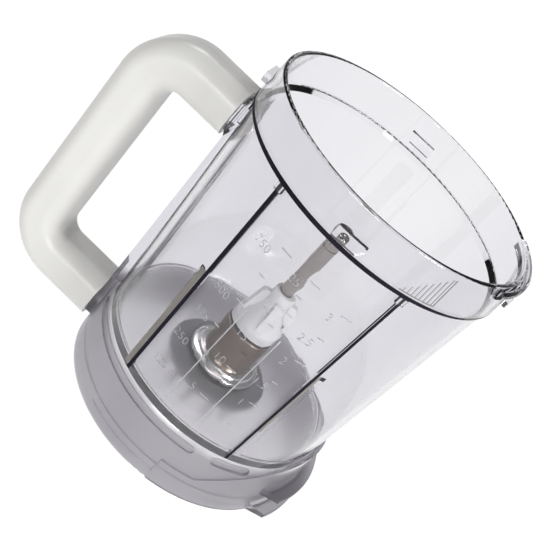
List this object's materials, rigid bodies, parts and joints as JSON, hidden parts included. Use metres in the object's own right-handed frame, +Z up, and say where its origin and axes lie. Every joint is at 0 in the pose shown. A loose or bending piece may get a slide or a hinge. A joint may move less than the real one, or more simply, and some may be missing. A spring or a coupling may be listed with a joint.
{
  "type": "food processor bowl",
  "caption": "Clear food processor bowl with a white loop handle, lid lugs, a bayonet skirt and a captive central drive shaft that turns.",
  "frame": {"origin": "on the drive axis, in the plane of the skirt's bottom edge, where the bowl sits on its motor base", "axes": "+Z up along the drive axis, handle towards -X, finger lip towards +X, measuring scale towards -Y"},
  "size_m": [0.1693, 0.1232, 0.148],
  "materials": {
    "clear_plastic": "clear, glossy, faint lavender-grey tint",
    "white_plastic": "satin white",
    "hub_plastic": "glossy white",
    "zinc_screw": "zinc plated",
    "insert_brass": "turned",
    "polished_steel": "polished",
    "bright_ring": "bright",
    "black_rubber": "matt",
    "plated_nut": "plated",
    "sintered_bronze": "sintered",
    "ground_steel": "ground",
    "nylon": "natural nylon",
    "grey_plastic": "satin grey",
    "light_plastic": "acetal",
    "spring_steel": "spring steel"
  },
  "bodies": {
    "bowl_body": {"bowl": "clear_plastic", "handle_front_half": "white_plastic", "handle_rear_half": "white_plastic", "handle_screws": "zinc_screw", "handle_inserts": "insert_brass", "bearing_sleeve": "polished_steel", "sleeve_base_ring": "bright_ring", "floor_gasket": "black_rubber", "sleeve_clamp_nut": "plated_nut", "lower_bush": "sintered_bronze", "upper_bush": "sintered_bronze", "shaft_seal": "black_rubber"},
    "drive_shaft": {"spindle": "ground_steel", "drive_hub": "hub_plastic", "hub_pin": "ground_steel", "upper_thrust_washer": "nylon", "lower_thrust_washer": "nylon", "drive_coupling": "grey_plastic", "coupling_pegs": "light_plastic", "coupling_clip": "spring_steel"}
  },
  "joints": [
    {"name": "drive_spin", "type": "hinge", "parent": "bowl_body", "child": "drive_shaft", "pos_m": [0, 0, 0], "axis": [0, 0, 1], "continuous": true}
  ]
}
